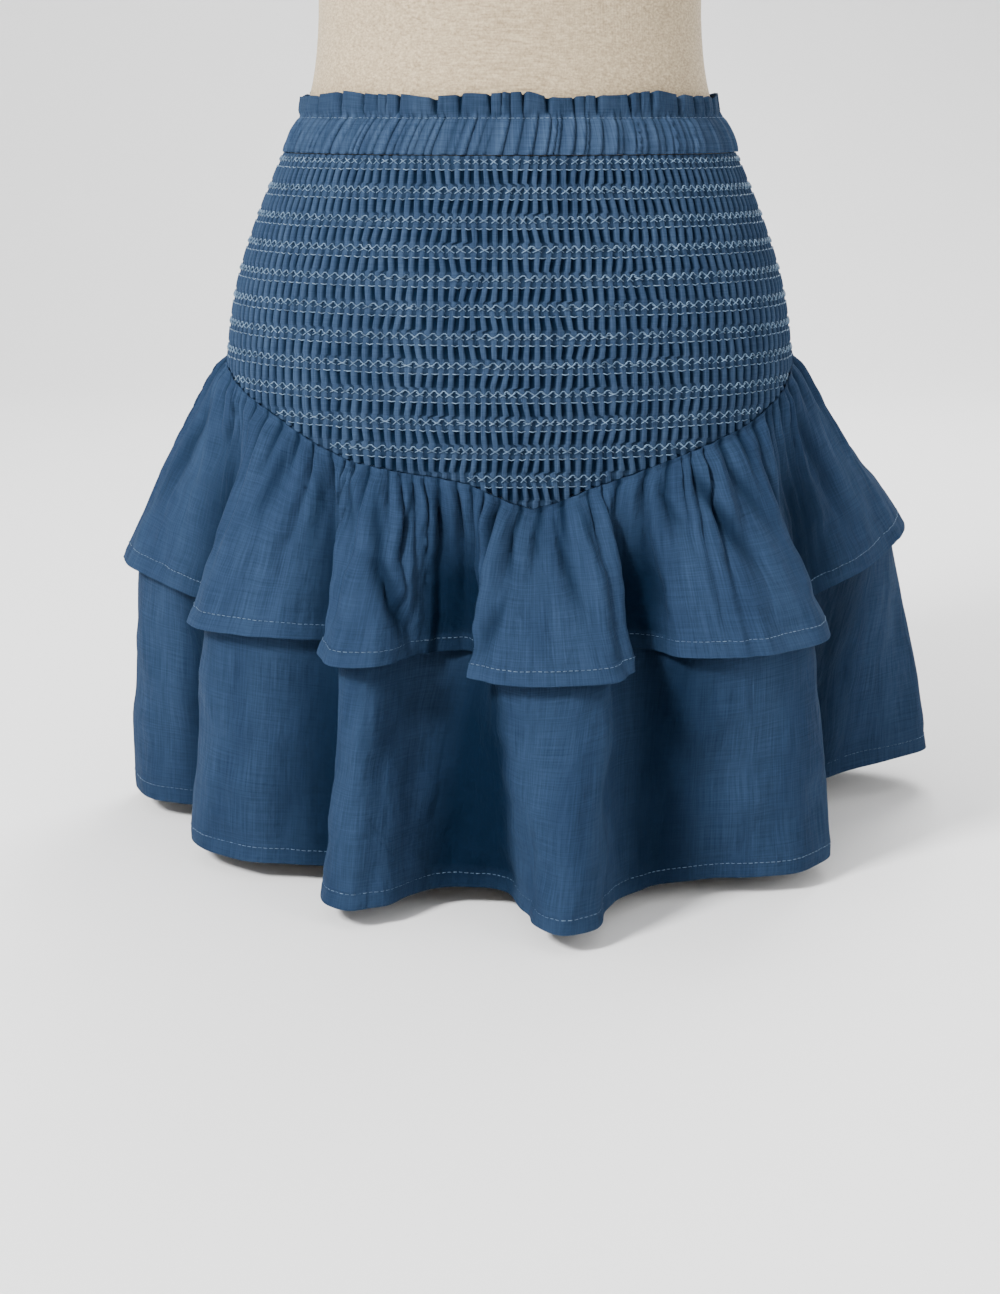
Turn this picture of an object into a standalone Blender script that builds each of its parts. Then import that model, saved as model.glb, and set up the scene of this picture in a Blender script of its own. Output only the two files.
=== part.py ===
"""Smocked skirt with two ruffle tiers, standing on a limbless dress form.

Metres, +Z up, the skirt's front towards -Y. The origin is the middle of the form's flat base.
A point on the cloth is found from its girth fraction (0 at the centre front, 0.25 at the side
seam on +X, 0.5 at the centre back) and its height.
"""
import math

import bmesh
import bpy
import numpy as np

COLLECTION_NAME = "ruffle_skirt_on_dress_form"

# Heights above the floor
HEM_HEIGHT = 0.012
SKIRT_LENGTH = 0.446
TOP_HEIGHT = HEM_HEIGHT + SKIRT_LENGTH
FRILL_DEPTH = 0.0135
CASING_DEPTH = 0.0205
STITCH_HEIGHT = TOP_HEIGHT - FRILL_DEPTH
YOKE_TOP = STITCH_HEIGHT - CASING_DEPTH
YOKE_SIDE_DEPTH = 0.122
YOKE_POINT_DEPTH = 0.2025

# The cloth wall and the gaps that part one piece from the next
CLOTH = 0.0012
SEAM_GAP = 0.0003
FORM_GAP = 0.0004
TIER_STEP = 0.0018
HIP_GIRTH = 0.94

# The dress form: height, half width, half depth
FORM_SECTIONS = (
    (0.000, 0.150, 0.100),
    (0.080, 0.158, 0.106),
    (0.170, 0.170, 0.115),
    (0.252, 0.1755, 0.120),
    (0.302, 0.1745, 0.120),
    (0.345, 0.1675, 0.116),
    (0.385, 0.1540, 0.108),
    (0.424, 0.1370, 0.099),
    (0.456, 0.1232, 0.091),
    (0.490, 0.1175, 0.088),
    (0.520, 0.1160, 0.088),
    (0.560, 0.1195, 0.091),
    (0.640, 0.1340, 0.104),
    (0.710, 0.1410, 0.111),
    (0.780, 0.1480, 0.103),
    (0.830, 0.1500, 0.090),
    (0.862, 0.1280, 0.076),
    (0.882, 0.0860, 0.062),
    (0.900, 0.0600, 0.054),
    (0.930, 0.0530, 0.050),
    (0.960, 0.0520, 0.049),
)
FORM_COLUMNS = 36
# Rings are close together under the skirt and wider apart above it
FORM_RING_STEP = 0.03
FORM_FINE_HEIGHT = 0.48
FORM_UPPER_RINGS = 10

# Where each fold of the two tiers has its crest or its valley:
# azimuth in degrees, upper hem radius, upper hem height, lower hem radius, lower hem height
FOLDS = (
    (-180, 0.222, 0.148, 0.255, 0.012),
    (-158, 0.172, 0.150, 0.190, 0.012),
    (-140, 0.224, 0.153, 0.252, 0.012),
    (-120, 0.198, 0.158, 0.210, 0.013),
    (-98, 0.252, 0.166, 0.246, 0.013),
    (-80, 0.205, 0.156, 0.212, 0.012),
    (-66, 0.212, 0.152, 0.222, 0.012),
    (-39, 0.182, 0.149, 0.190, 0.012),
    (-25, 0.220, 0.147, 0.250, 0.012),
    (-11, 0.166, 0.146, 0.182, 0.012),
    (6, 0.228, 0.142, 0.268, 0.012),
    (27, 0.182, 0.147, 0.194, 0.012),
    (45, 0.224, 0.147, 0.244, 0.012),
    (66, 0.205, 0.152, 0.208, 0.014),
    (100, 0.266, 0.184, 0.290, 0.026),
    (124, 0.200, 0.165, 0.210, 0.018),
    (146, 0.222, 0.155, 0.250, 0.013),
    (163, 0.172, 0.150, 0.188, 0.012),
    (180, 0.222, 0.148, 0.255, 0.012),
)
UPPER_RADIUS, UPPER_HEIGHT, LOWER_RADIUS, LOWER_HEIGHT = 1, 2, 3, 4
FLARE_POWER = 0.9
NEST_AT_HEM = 0.0085
# Under the yoke each tier hangs straight down for this far before it flares
COLLAR = 0.004

# Smocking: rows of stitching with a row of puffed pleats between each two
SMOCK_PITCH = 0.0165
YOKE_COLUMNS = 48
PLEAT_CREST = 0.0018
PLEAT_GROOVE = 0.0002
STITCHED_CREST = 0.0008

# Gathers of the waist frill and of the upper tier's top edge
WAIST_WAVES = 42
WAVE_COLUMNS = 3
TIER_GATHERS = 44
GATHER_HEIGHT = 0.003
GATHER_FADE = 0.035
# How far the waist gathers stand out at each level: height, stand
WAIST_ROWS = (
    (TOP_HEIGHT, 0.0036),
    (TOP_HEIGHT - 0.45 * FRILL_DEPTH, 0.0026),
    (STITCH_HEIGHT, 0.0006),
    (STITCH_HEIGHT - 0.5 * CASING_DEPTH, 0.0022),
    (YOKE_TOP + SEAM_GAP / 2, 0.0008),
)
TIER_ROWS = 7
LOWER_COLUMNS = 48

DENIM = (0.066, 0.128, 0.214, 1.0)
DENIM_DARK = (0.052, 0.104, 0.178, 1.0)
LINEN = (0.640, 0.580, 0.480, 1.0)


def clear_scene():
    for thing in list(bpy.data.objects):
        bpy.data.objects.remove(thing, do_unlink=True)


def section_value(column, height):
    """Smooth curve through one column of the form's sections."""
    table = np.array(FORM_SECTIONS)
    heights, values = table[:, 0], table[:, column]
    slopes = np.gradient(values, heights)
    row = int(np.clip(np.searchsorted(heights, height) - 1, 0, len(heights) - 2))
    span = heights[row + 1] - heights[row]
    s = np.clip((height - heights[row]) / span, 0.0, 1.0)
    start = (1 + 2 * s) * (1 - s) ** 2 * values[row] + s * (1 - s) ** 2 * span * slopes[row]
    end = s * s * (3 - 2 * s) * values[row + 1] - s * s * (1 - s) * span * slopes[row + 1]
    return float(start + end)


def form_radius(azimuth, height):
    half_width = section_value(1, height)
    half_depth = section_value(2, height)
    return 1.0 / math.hypot(math.sin(azimuth) / half_width, math.cos(azimuth) / half_depth)


def girth_table():
    """Azimuths round the hips, with the share of the girth that lies before each."""
    azimuths = np.linspace(-math.pi, math.pi, 721)
    radii = np.array([form_radius(a, YOKE_TOP - YOKE_SIDE_DEPTH) for a in azimuths])
    x, y = radii * np.sin(azimuths), -radii * np.cos(azimuths)
    arcs = np.concatenate([[0.0], np.cumsum(np.hypot(np.diff(x), np.diff(y)))])
    return azimuths, arcs / arcs[-1] - 0.5


GIRTH_AZIMUTHS, GIRTH_SHARES = girth_table()


def girth_azimuth(fraction):
    turns = math.floor(fraction + 0.5)
    return float(np.interp(fraction - turns, GIRTH_SHARES, GIRTH_AZIMUTHS)) + 2 * math.pi * turns


def place(azimuth, radius, height):
    return (radius * math.sin(azimuth), -radius * math.cos(azimuth), height)


def fold_value(column, azimuth):
    """Rounded wave through the crests and valleys of the fold table."""
    degrees = (math.degrees(azimuth) + 180.0) % 360.0 - 180.0
    rows = [row[0] for row in FOLDS]
    i = int(np.clip(np.searchsorted(rows, degrees) - 1, 0, len(rows) - 2))
    share = (degrees - rows[i]) / (rows[i + 1] - rows[i])
    blend = 0.5 - 0.5 * math.cos(math.pi * share)
    return FOLDS[i][column] * (1 - blend) + FOLDS[i + 1][column] * blend


def yoke_edge(fraction):
    """The yoke's lower edge, a point at the centre front and back and high at the sides."""
    to_side = 1.0 - abs((fraction % 0.5) / 0.25 - 1.0)
    return YOKE_TOP - YOKE_POINT_DEPTH - (YOKE_SIDE_DEPTH - YOKE_POINT_DEPTH) * to_side


def row_height(share, top, hem):
    """Height of a tier's row: the first row is the collar, the rest are even."""
    return float(np.interp(share, (0.0, 1.0 / TIER_ROWS, 1.0), (top, top - COLLAR, hem)))


def upper_tier_radius(fraction, height):
    """Inner face of the upper tier without its gathers."""
    azimuth = girth_azimuth(fraction)
    top = yoke_edge(fraction) - SEAM_GAP
    start = form_radius(azimuth, top) + FORM_GAP + TIER_STEP
    hem = fold_value(UPPER_HEIGHT, azimuth)
    fall = min(max((top - COLLAR - height) / (top - COLLAR - hem), 0.0), 1.0)
    return start + (fold_value(UPPER_RADIUS, azimuth) - start) * fall ** FLARE_POWER


def upper_tier_point(fraction, share):
    azimuth = girth_azimuth(fraction)
    top = yoke_edge(fraction) - SEAM_GAP
    height = row_height(share, top, fold_value(UPPER_HEIGHT, azimuth))
    phase = 2 * math.pi * TIER_GATHERS * fraction + 0.9 * math.sin(5 * azimuth)
    fade = math.exp(-max(top - COLLAR - height, 0.0) / GATHER_FADE)
    stand = GATHER_HEIGHT * (0.5 + 0.5 * math.cos(phase)) * fade
    return place(azimuth, upper_tier_radius(fraction, height) + stand, height)


def lower_tier_point(fraction, share):
    """Inner face of the lower tier: nested under the upper tier, then falling to its own hem."""
    azimuth = girth_azimuth(fraction)
    top = yoke_edge(fraction) - SEAM_GAP
    upper_hem = fold_value(UPPER_HEIGHT, azimuth)
    hem = fold_value(LOWER_HEIGHT, azimuth)
    height = row_height(share, top, hem)
    covered = min(max((top - COLLAR - height) / (top - COLLAR - upper_hem), 0.0), 1.0)
    nest = TIER_STEP + (NEST_AT_HEM - TIER_STEP) * covered
    radius = upper_tier_radius(fraction, height) - nest
    free = max((upper_hem - height) / (upper_hem - hem), 0.0)
    radius += (fold_value(LOWER_RADIUS, azimuth) - radius) * free * (1.4 - 0.4 * free)
    return place(azimuth, radius, height)


def waist_point(fraction, row_share):
    """Inner face of the frill and casing, row_share 0 at the top edge and 1 at the yoke."""
    shares = np.linspace(0.0, 1.0, len(WAIST_ROWS))
    height = float(np.interp(row_share, shares, [row[0] for row in WAIST_ROWS]))
    stand = float(np.interp(row_share, shares, [row[1] for row in WAIST_ROWS]))
    azimuth = girth_azimuth(fraction)
    phase = 2 * math.pi * WAIST_WAVES * fraction
    wave = 0.5 + 0.5 * math.cos(phase)
    return place(azimuth, form_radius(azimuth, height) + FORM_GAP + stand * wave, height)


def cloth_material(name, colour, roughness):
    material = bpy.data.materials.new(name)
    material.use_nodes = True
    shader = material.node_tree.nodes["Principled BSDF"]
    shader.inputs["Base Color"].default_value = colour
    shader.inputs["Roughness"].default_value = roughness
    shader.inputs["Metallic"].default_value = 0.0
    return material


def add_object(name, bm, colour, roughness, collection):
    bmesh.ops.recalc_face_normals(bm, faces=bm.faces)
    mesh = bpy.data.meshes.new(name)
    bm.to_mesh(mesh)
    bm.free()
    mesh.shade_smooth()
    mesh.set_sharp_from_angle(angle=math.radians(40))
    thing = bpy.data.objects.new(name, mesh)
    mesh.materials.append(cloth_material(f"{name}_material", colour, roughness))
    collection.objects.link(thing)
    return thing


def draped_grid(columns, rows, start, end, point):
    """Grid whose width runs along the girth from start to end and whose height runs down."""
    bm = bmesh.new()
    bmesh.ops.create_grid(bm, x_segments=columns, y_segments=rows, size=0.5)
    for vertex in bm.verts:
        fraction = start + (end - start) * (vertex.co.x + 0.5)
        vertex.co = point(fraction, min(max(0.5 - vertex.co.y, 0.0), 1.0))
    return bm


def thicken(thing):
    """Turn the open sheet into a wall that grows outwards from its inner face."""
    shell = thing.modifiers.new("cloth_wall", "SOLIDIFY")
    shell.thickness = CLOTH
    shell.offset = 1.0
    shell.use_even_offset = False


def face_outwards(bm):
    """Make an open sheet's faces look away from the form's axis."""
    bmesh.ops.recalc_face_normals(bm, faces=bm.faces)
    outward = sum(f.normal.x * f.calc_center_median().x + f.normal.y * f.calc_center_median().y
                  for f in bm.faces)
    if outward < 0:
        bmesh.ops.reverse_faces(bm, faces=bm.faces)


def add_sheet(name, bm, colour, collection):
    face_outwards(bm)
    mesh = bpy.data.meshes.new(name)
    bm.to_mesh(mesh)
    bm.free()
    mesh.shade_smooth()
    thing = bpy.data.objects.new(name, mesh)
    mesh.materials.append(cloth_material(f"{name}_material", colour, 0.85))
    collection.objects.link(thing)
    thicken(thing)
    return thing


def build_form(collection):
    """The torso: one closed loft from a flat base to a flat neck."""
    top = FORM_SECTIONS[-1][0]
    fine = np.arange(0.0, FORM_FINE_HEIGHT, FORM_RING_STEP)
    levels = list(fine) + list(np.linspace(FORM_FINE_HEIGHT, top, FORM_UPPER_RINGS + 1))
    azimuths = np.linspace(-math.pi, math.pi, FORM_COLUMNS, endpoint=False)
    bm = bmesh.new()
    rings = [[bm.verts.new(place(a, form_radius(a, z), z)) for a in azimuths] for z in levels]
    for lower, upper in zip(rings, rings[1:]):
        for i in range(FORM_COLUMNS):
            j = (i + 1) % FORM_COLUMNS
            bm.faces.new((lower[i], lower[j], upper[j], upper[i]))
    bm.faces.new(rings[0])
    bm.faces.new(rings[-1])
    add_object("dress_form", bm, LINEN, 0.9, collection)


def build_waistband(collection):
    """Casing and stand-up frill: one gathered strip, closed round the waist."""
    rows = len(WAIST_ROWS) - 1
    bm = draped_grid(WAIST_WAVES * WAVE_COLUMNS, rows, -0.5, 0.5, waist_point)
    bmesh.ops.remove_doubles(bm, verts=bm.verts, dist=1e-5)
    add_sheet("waistband", bm, DENIM, collection)


def level_column(bm, fraction, levels, lift):
    """Vertices of one yoke column: each level above the slanted edge, then the edge."""
    azimuth = girth_azimuth(fraction)
    edge = yoke_edge(fraction)
    heights = [z for z in levels if z > edge + SEAM_GAP] + [edge]
    return [bm.verts.new(place(azimuth, form_radius(azimuth, z) + FORM_GAP + lift(z), z))
            for z in heights]


def join_columns(bm, left, right):
    """Quads between two columns; the last face takes the odd corner at the slanted edge."""
    last = min(len(left), len(right)) - 2
    for i in range(last):
        bm.faces.new((left[i], left[i + 1], right[i + 1], right[i]))
    bm.faces.new(left[last:] + right[last:][::-1])


def smocking_lift(column):
    """Outer lift of a column: pleats stand between the rows and are held flat at each row."""
    crest = PLEAT_CREST if column % 2 else PLEAT_GROOVE

    def lift(height):
        rows_down = (YOKE_TOP - height) / SMOCK_PITCH
        puffed = 0.5 - 0.5 * math.cos(2 * math.pi * rows_down)
        return CLOTH + STITCHED_CREST + (crest - STITCHED_CREST) * puffed

    return lift


def build_yoke(name, start, end, collection):
    """Half of the smocked yoke: raised pleats outside, plain inside."""
    top = YOKE_TOP - SEAM_GAP / 2
    outer_levels = [top] + list(np.arange(top - SMOCK_PITCH / 2, 0.0, -SMOCK_PITCH / 2))
    inner_levels = [top] + list(np.arange(0.0, top, FORM_RING_STEP))[::-1]
    bm = bmesh.new()
    columns = [start + (end - start) * i / YOKE_COLUMNS for i in range(YOKE_COLUMNS + 1)]
    outer = [level_column(bm, u, outer_levels, smocking_lift(i)) for i, u in enumerate(columns)]
    inner = [level_column(bm, u, inner_levels, lambda z: 0.0) for u in columns]
    for side in (outer, inner):
        for left, right in zip(side, side[1:]):
            join_columns(bm, left, right)
    for i in range(YOKE_COLUMNS):
        bm.faces.new((outer[i][0], outer[i + 1][0], inner[i + 1][0], inner[i][0]))
        bm.faces.new((outer[i][-1], outer[i + 1][-1], inner[i + 1][-1], inner[i][-1]))
    for side in (0, -1):
        bm.faces.new(outer[side] + inner[side][::-1])
    add_object(name, bm, DENIM_DARK, 0.85, collection)


def build_tier(name, columns, start, end, point, collection):
    bm = draped_grid(columns, TIER_ROWS, start, end, point)
    add_sheet(name, bm, DENIM, collection)


def main():
    clear_scene()
    collection = bpy.data.collections.new(COLLECTION_NAME)
    bpy.context.scene.collection.children.link(collection)
    build_form(collection)
    build_waistband(collection)
    half_gap = SEAM_GAP / 2 / HIP_GIRTH
    halves = (("front", -0.25 + half_gap, 0.25 - half_gap), ("back", 0.25 + half_gap, 0.75 - half_gap))
    upper_columns = TIER_GATHERS * WAVE_COLUMNS // 2
    for side, start, end in halves:
        build_yoke(f"yoke_{side}", start, end, collection)
        build_tier(f"upper_ruffle_{side}", upper_columns, start, end, upper_tier_point, collection)
        build_tier(f"lower_ruffle_{side}", LOWER_COLUMNS, start, end, lower_tier_point, collection)


main()
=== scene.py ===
"""A smocked skirt with two ruffle tiers on a limbless dress form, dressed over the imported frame."""
import math

import bmesh
import bpy
import numpy as np
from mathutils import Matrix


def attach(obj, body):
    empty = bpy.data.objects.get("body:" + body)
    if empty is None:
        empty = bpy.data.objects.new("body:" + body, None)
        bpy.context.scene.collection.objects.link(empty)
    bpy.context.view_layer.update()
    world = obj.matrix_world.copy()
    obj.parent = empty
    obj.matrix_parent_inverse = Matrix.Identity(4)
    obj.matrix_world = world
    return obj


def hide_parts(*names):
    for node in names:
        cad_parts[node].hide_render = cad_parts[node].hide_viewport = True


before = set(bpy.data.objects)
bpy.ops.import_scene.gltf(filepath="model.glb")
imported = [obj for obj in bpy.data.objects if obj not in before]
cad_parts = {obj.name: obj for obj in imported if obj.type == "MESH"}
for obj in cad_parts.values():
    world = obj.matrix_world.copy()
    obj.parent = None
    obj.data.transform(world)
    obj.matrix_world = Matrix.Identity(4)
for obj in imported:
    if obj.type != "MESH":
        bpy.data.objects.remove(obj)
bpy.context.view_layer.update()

# Dress form
# A hollow moulded torso under a tight cover of natural linen, flat at the neck and at the base.
# The cover is pulled smooth over the shell and glued under at both ends.
LINEN_LIGHT = (0.535, 0.425, 0.272, 1.0)
LINEN_DARK = (0.275, 0.205, 0.122, 1.0)
LINEN_THREAD = 0.0009
LINEN_SLUB = (0.012, 0.0012)
LINEN_ROUGHNESS = 0.88
FORM_MERGE = 0.00002
FORM_EDGE_ANGLE = math.radians(50)


def new_material(name, **values):
    """Material with values for its shader's inputs, its node tree and that shader."""
    material = bpy.data.materials.new(name)
    material.use_nodes = True
    shader = material.node_tree.nodes["Principled BSDF"]
    for key, value in values.items():
        shader.inputs[key.replace("_", " ")].default_value = value
    return material, material.node_tree, shader


def add_node(tree, kind, **values):
    """Node in a material's or a group's tree, with values for its inputs."""
    node = tree.nodes.new(kind)
    for key, value in values.items():
        node.inputs[key.replace("_", " ")].default_value = value
    return node


def noise_field(tree, vector, detail, scale=1.0, stretch=None, distortion=0.0):
    """Soft noise on a vector, which may be stretched first."""
    if stretch:
        mapping = add_node(tree, "ShaderNodeMapping", Scale=stretch)
        tree.links.new(vector, mapping.inputs["Vector"])
        vector = mapping.outputs["Vector"]
    noise = add_node(tree, "ShaderNodeTexNoise", Scale=scale, Detail=detail, Distortion=distortion)
    tree.links.new(vector, noise.inputs["Vector"])
    return noise.outputs["Fac"]


def combine(tree, operation, *values):
    """Result of an operation on numbers and other nodes' outputs."""
    node = tree.nodes.new("ShaderNodeMath")
    node.operation = operation
    for entry, value in zip(node.inputs, values):
        if isinstance(value, float):
            entry.default_value = value
        else:
            tree.links.new(value, entry)
    return node.outputs[0]


def spread_out(tree, value, low, high):
    """A value stretched so that low comes out as 0 and high as 1."""
    node = add_node(tree, "ShaderNodeMapRange", From_Min=low, From_Max=high)
    tree.links.new(value, node.inputs["Value"])
    return node.outputs["Result"]


def mix_colors(tree, factor, first, second, blend="MIX"):
    """Colour from first to second by a factor; each is a colour or another node's output."""
    node = tree.nodes.new("ShaderNodeMix")
    node.data_type = "RGBA"
    node.blend_type = blend
    tree.links.new(factor, node.inputs["Factor"])
    for key, color in (("A", first), ("B", second)):
        if isinstance(color, tuple):
            node.inputs[key].default_value = color
        else:
            tree.links.new(color, node.inputs[key])
    return node.outputs["Result"]


def raise_bump(tree, height, strength, distance, under=None):
    """Bump from a height, laid over another bump if one is given."""
    node = add_node(tree, "ShaderNodeBump", Strength=strength, Distance=distance)
    tree.links.new(height, node.inputs["Height"])
    if under is not None:
        tree.links.new(under, node.inputs["Normal"])
    return node.outputs["Normal"]


def weave_group(name, thread, slub_length, slub_width, warp_share):
    """Plain weave on a vector in metres: a mask of thick and thin yarns, and a height."""
    group = bpy.data.node_groups.new(name, "ShaderNodeTree")
    group.interface.new_socket("Vector", in_out="INPUT", socket_type="NodeSocketVector")
    group.interface.new_socket("Yarns", in_out="OUTPUT", socket_type="NodeSocketFloat")
    group.interface.new_socket("Height", in_out="OUTPUT", socket_type="NodeSocketFloat")
    entry = group.nodes.new("NodeGroupInput")
    leave = group.nodes.new("NodeGroupOutput")
    slubs, threads = [], []
    for axis in (0, 1):
        stretch = [1.0 / slub_width] * 3
        stretch[1 - axis] = 1.0 / slub_length
        slubs.append(noise_field(group, entry.outputs["Vector"], 3.0, stretch=stretch))
        wave = add_node(group, "ShaderNodeTexWave", Scale=2 * math.pi / 20 / thread, Distortion=0.6)
        wave.wave_type = "BANDS"
        wave.bands_direction = "XY"[axis]
        group.links.new(entry.outputs["Vector"], wave.inputs["Vector"])
        threads.append(wave.outputs["Fac"])
    weft = combine(group, "MULTIPLY", slubs[1], 1.0 - warp_share)
    mean = combine(group, "MULTIPLY_ADD", slubs[0], warp_share, weft)
    yarns = spread_out(group, mean, 0.36, 0.64)
    higher = combine(group, "MAXIMUM", *threads)
    group.links.new(yarns, leave.inputs["Yarns"])
    group.links.new(combine(group, "ADD", higher, yarns), leave.inputs["Height"])
    return group


linen, tree, shader = new_material("linen_cover", Roughness=LINEN_ROUGHNESS, Sheen_Weight=0.15)
coordinates = tree.nodes.new("ShaderNodeTexCoord")
weave = tree.nodes.new("ShaderNodeGroup")
weave.node_tree = weave_group("linen_weave", LINEN_THREAD, *LINEN_SLUB, 0.5)
tree.links.new(coordinates.outputs["Object"], weave.inputs["Vector"])
tint = mix_colors(tree, weave.outputs["Yarns"], LINEN_DARK, LINEN_LIGHT)
tree.links.new(tint, shader.inputs["Base Color"])
bump = raise_bump(tree, weave.outputs["Height"], 0.35, 0.0004)
tree.links.new(bump, shader.inputs["Normal"])

bpy.ops.object.select_all(action="DESELECT")
form = bpy.data.objects.new("form_cover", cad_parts["dress_form"].data.copy())
bpy.context.collection.objects.link(form)
form.data.materials.clear()
form.data.materials.append(linen)
form.select_set(True)
bpy.context.view_layer.objects.active = form
bpy.ops.object.mode_set(mode="EDIT")
bpy.ops.mesh.select_all(action="SELECT")
bpy.ops.mesh.remove_doubles(threshold=FORM_MERGE)
bpy.ops.mesh.tris_convert_to_quads(face_threshold=0.7, shape_threshold=0.7)
bm = bmesh.from_edit_mesh(form.data)
crisp = bm.edges.layers.float.new("crease_edge")
for edge in bm.edges:
    if edge.calc_face_angle(0.0) > FORM_EDGE_ANGLE:
        edge[crisp] = 1.0
bmesh.update_edit_mesh(form.data)
bpy.ops.object.mode_set(mode="OBJECT")
rounding = form.modifiers.new("rounding", "SUBSURF")
rounding.levels = 2
rounding.render_levels = 2
bpy.ops.object.modifier_apply(modifier=rounding.name)
bpy.ops.object.shade_smooth_by_angle(angle=FORM_EDGE_ANGLE)
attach(form, "root")
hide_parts("dress_form")

# Waistband
# One strip of the skirt's cotton, folded over a wide elastic and stitched under its fold, so that
# the elastic gathers it: a stand-up frill above the stitch line, a casing in fine creases below.
# The form's sections: height, half width and half depth
FORM_SECTIONS = np.array((
    (0.000, 0.150, 0.100),
    (0.080, 0.158, 0.106),
    (0.170, 0.170, 0.115),
    (0.252, 0.1755, 0.120),
    (0.302, 0.1745, 0.120),
    (0.345, 0.1675, 0.116),
    (0.385, 0.1540, 0.108),
    (0.424, 0.1370, 0.099),
    (0.456, 0.1232, 0.091),
    (0.490, 0.1175, 0.088),
))
HIP_HEIGHT = 0.302
TOP_HEIGHT = 0.458
STITCH_HEIGHT = 0.4445
YOKE_TOP = 0.424
FORM_GAP = 0.0004
WAIST_CLOTH = 0.0009
WAIST_COLUMNS = 1400
WAIST_ROWS = 20
FRILL_TUBES = 54
FRILL_STAND = 0.0064
FRILL_LIFT = 0.0007
FRILL_SEED = 11
TUBE_SLIT = 0.07
TUBE_FLANK = 0.13
CASING_CREASES = 132
CASING_LEAN = 0.0085
CASING_BULGE = 0.0022
CASING_SEED = 13
CREASE_STAND = 0.0034
CREASE_PEAK = 0.82
# Width of the painted shade line at each crease, in shares of a crease
CREASE_LINE = 0.11
UNEVEN_WIDTHS = 0.7
# The casing's lower edge stops this far over the yoke's top
CASING_CLEAR = 0.0003
WAIST_FLAT = (1.05, 0.036)
SHELL_MERGE = 0.000002
CUT_ANGLE = 80
CLOTH_LIGHT = (0.0262, 0.0495, 0.0965, 1.0)
CLOTH_DARK = (0.0135, 0.0280, 0.0580, 1.0)
CLOTH_THREAD = 0.0006
CLOTH_SLUB = (0.034, 0.0009)
WARP_SHARE = 0.58
SHEEN_TINT = (0.35, 0.60, 1.0, 1.0)
FADED = (0.74, 0.76, 0.80, 1.0)
FADING_STRETCH = (30.0, 8.0, 1.0)
WRINKLE_STRETCH = (95.0, 24.0, 1.0)
CRUMPLE_SCALE = 75.0
# Painted light: the waistband's yarn tones are a lighter copy of the skirt's cotton, for its upright
# casing
PAINTED_LIT_WAIST_LIGHT = (0.0570, 0.0940, 0.1640, 1.0)
PAINTED_LIT_WAIST_DARK = (0.0240, 0.0470, 0.0920, 1.0)
# Near black that the cloth is mixed towards as painted shade in folds, creases and slits
PAINTED_FOLD_SHADE = (0.001, 0.006, 0.016, 1.0)


def section_curve(column):
    """One column of the form's sections as a fine smooth curve: heights and values."""
    heights, values = FORM_SECTIONS[:, 0], FORM_SECTIONS[:, column]
    slopes = np.gradient(values, heights)
    fine = np.linspace(heights[0], heights[-1], 400)
    row = np.clip(np.searchsorted(heights, fine) - 1, 0, len(heights) - 2)
    span = heights[row + 1] - heights[row]
    s = (fine - heights[row]) / span
    start = (1 + 2 * s) * (1 - s) ** 2 * values[row] + s * (1 - s) ** 2 * span * slopes[row]
    end = s * s * (3 - 2 * s) * values[row + 1] - s * s * (1 - s) * span * slopes[row + 1]
    return fine, start + end


HALF_WIDTHS, HALF_DEPTHS = section_curve(1), section_curve(2)


def form_radius(azimuth, height):
    """The form's radius at an azimuth, 0 at the front and positive to the wearer's left."""
    half_width = np.interp(height, *HALF_WIDTHS)
    half_depth = np.interp(height, *HALF_DEPTHS)
    return 1.0 / np.hypot(np.sin(azimuth) / half_width, np.cos(azimuth) / half_depth)


def girth_azimuth(fraction):
    """Azimuth at a share of the hips' girth, 0 at the centre front and 0.5 at the centre back."""
    azimuths = np.linspace(-math.pi, math.pi, 721)
    radii = form_radius(azimuths, HIP_HEIGHT)
    x, y = radii * np.sin(azimuths), -radii * np.cos(azimuths)
    arcs = np.concatenate([[0.0], np.cumsum(np.hypot(np.diff(x), np.diff(y)))])
    turns = np.floor(fraction + 0.5)
    return np.interp(fraction - turns, arcs / arcs[-1] - 0.5, azimuths) + 2 * math.pi * turns


def place(azimuth, radius, height):
    """Points from their azimuths, radii and heights."""
    return np.stack([radius * np.sin(azimuth), -radius * np.cos(azimuth), height], axis=-1)


def grid_faces(rows, columns, first=0, flip=False):
    """Four-sided faces over a grid of points, numbered row by row."""
    corner = first + np.arange(rows - 1)[:, None] * columns + np.arange(columns - 1)[None, :]
    order = (0, 1, columns + 1, columns) if flip else (0, columns, columns + 1, 1)
    return np.stack([corner + step for step in order], axis=-1).reshape(-1, 4)


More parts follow.
